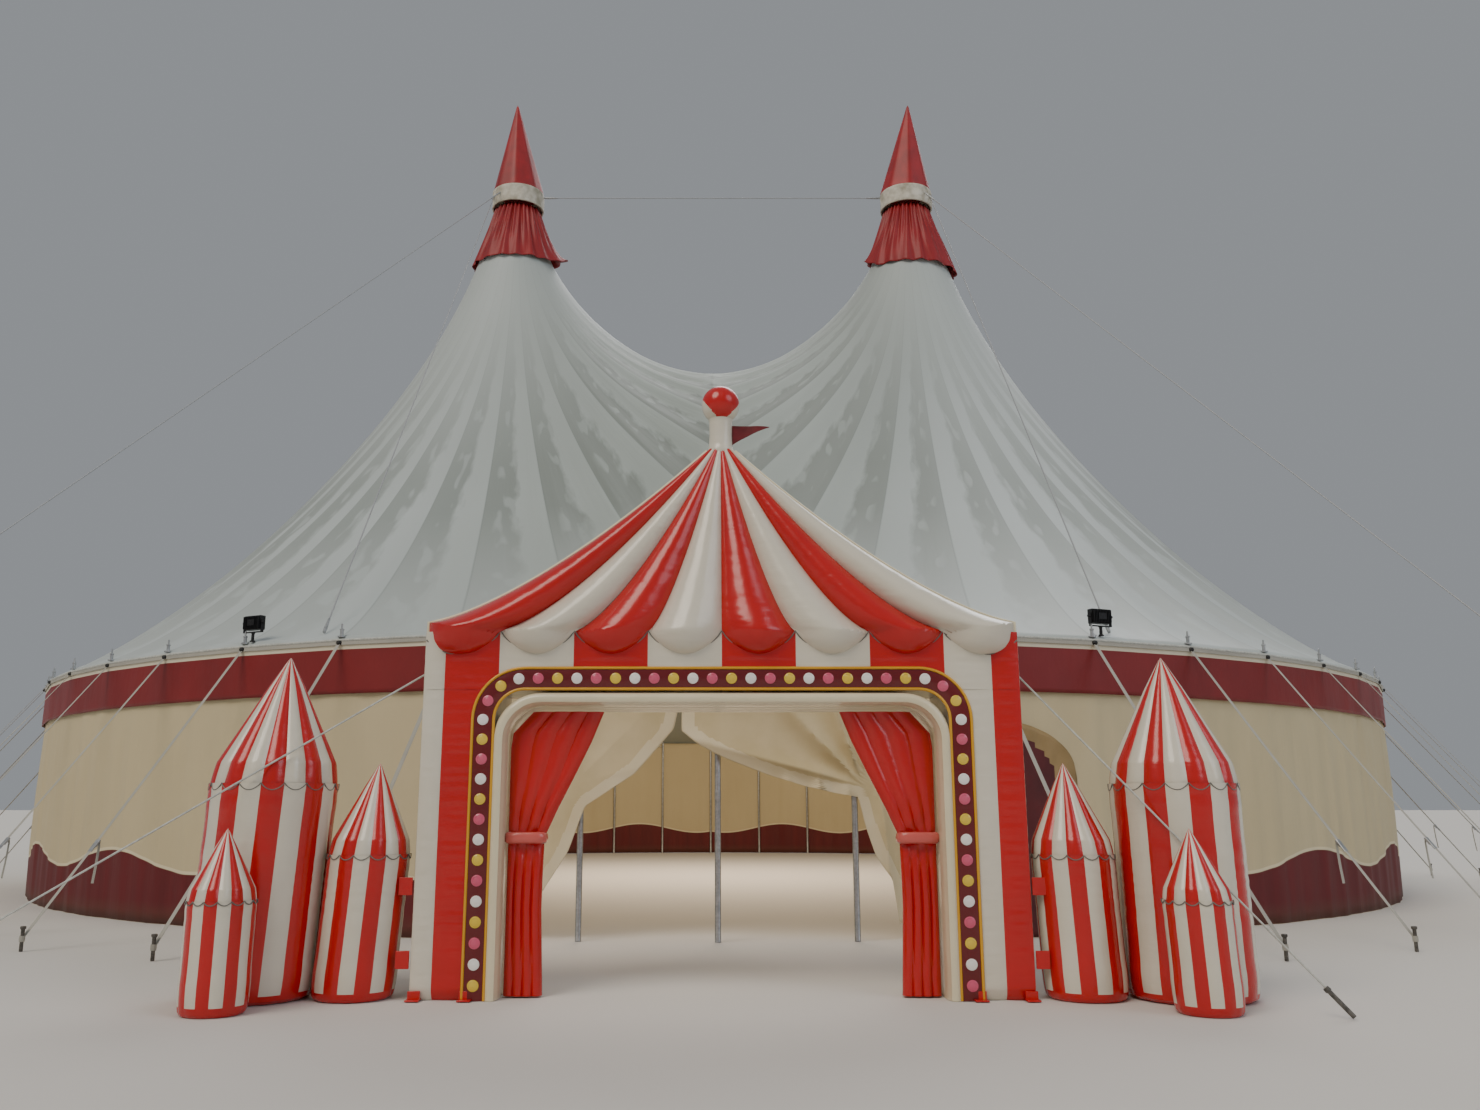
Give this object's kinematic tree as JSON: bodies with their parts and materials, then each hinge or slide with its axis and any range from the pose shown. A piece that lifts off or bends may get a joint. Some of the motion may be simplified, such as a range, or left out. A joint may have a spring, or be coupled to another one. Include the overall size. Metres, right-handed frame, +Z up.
{
  "type": "circus big top tent",
  "caption": "Round circus big top on two king poles, with a sagging canopy, side wall, guyed eave and a striped inflatable entrance arch between towers.",
  "frame": {"origin": "middle of the whole footprint, stakes and entrance towers included, on the ground", "axes": "+Z up, -Y out of the entrance, +X to the right of someone who looks at the entrance; the masts stand on a line along X"},
  "size_m": [32.044, 35.0422, 19],
  "materials": {
    "canopy": "silver-white coated polyester with a soft sheen",
    "side_wall": "cream coated polyester, matt",
    "red_fabric": "deep red coated polyester",
    "red_vinyl": "glossy red inflatable vinyl with white stripes",
    "white_vinyl": "off-white inflatable vinyl",
    "light_frame": "maroon printed vinyl with gold piping and printed lamps",
    "pole_steel": "galvanised steel",
    "cable": "steel wire rope",
    "webbing": "grey polyester webbing",
    "black_metal": "black powder coat"
  },
  "bodies": {
    "tent": {"roof_left_front": "canopy", "roof_left_side": "canopy", "roof_left_back": "canopy", "roof_left_middle": "canopy", "roof_right_front": "canopy", "roof_right_side": "canopy", "roof_right_back": "canopy", "roof_right_middle": "canopy", "wall_right_front": "side_wall", "wall_right_side": "side_wall", "wall_right_back": "side_wall", "wall_left_back": "side_wall", "wall_left_side": "side_wall", "wall_left_front": "side_wall", "door_drape_left": "side_wall", "door_drape_right": "side_wall", "king_pole_left": "pole_steel", "king_pole_right": "pole_steel", "door_poles": "pole_steel", "side_poles_right_front": "pole_steel", "side_poles_right_back": "pole_steel", "side_poles_left_back": "pole_steel", "side_poles_left_front": "pole_steel", "straps_right_front": "webbing", "straps_right_back": "webbing", "straps_left_back": "webbing", "straps_left_front": "webbing", "arch_tether_left": "webbing", "arch_tether_right": "webbing", "cupola_left": "white_vinyl", "cupola_right": "white_vinyl", "arch_lining": "white_vinyl", "arch_finial": "white_vinyl", "skirt_left": "red_fabric", "skirt_right": "red_fabric", "ridge_cable": "cable", "guy_front_left": "cable", "guy_front_right": "cable", "guy_back_left": "cable", "guy_back_right": "cable", "stay_front_left": "cable", "stay_front_right": "cable", "stay_back_left": "cable", "stay_back_right": "cable", "arch_roof": "red_vinyl", "arch_leg_left": "red_vinyl", "arch_leg_right": "red_vinyl", "arch_curtain_left": "red_vinyl", "arch_curtain_right": "red_vinyl", "tower_big_left": "red_vinyl", "tower_big_right": "red_vinyl", "tower_middle_left": "red_vinyl", "tower_middle_right": "red_vinyl", "tower_small_left": "red_vinyl", "tower_small_right": "red_vinyl", "arch_light_frame": "light_frame", "floodlight_bracket_left": "black_metal", "floodlight_bracket_right": "black_metal"},
    "floodlight_left": {"floodlight_left": "black_metal"},
    "floodlight_right": {"floodlight_right": "black_metal"}
  },
  "joints": [
    {"name": "floodlight_left_tilt", "type": "hinge", "parent": "tent", "child": "floodlight_left", "pos_m": [-6.10343, -10.37247, 3.88], "axis": [0.8894, -0.4572, 0], "range_deg": [-30, 60]},
    {"name": "floodlight_right_tilt", "type": "hinge", "parent": "tent", "child": "floodlight_right", "pos_m": [4.88281, -10.92183, 3.88], "axis": [0.9307, 0.3659, 0], "range_deg": [-30, 60]}
  ]
}
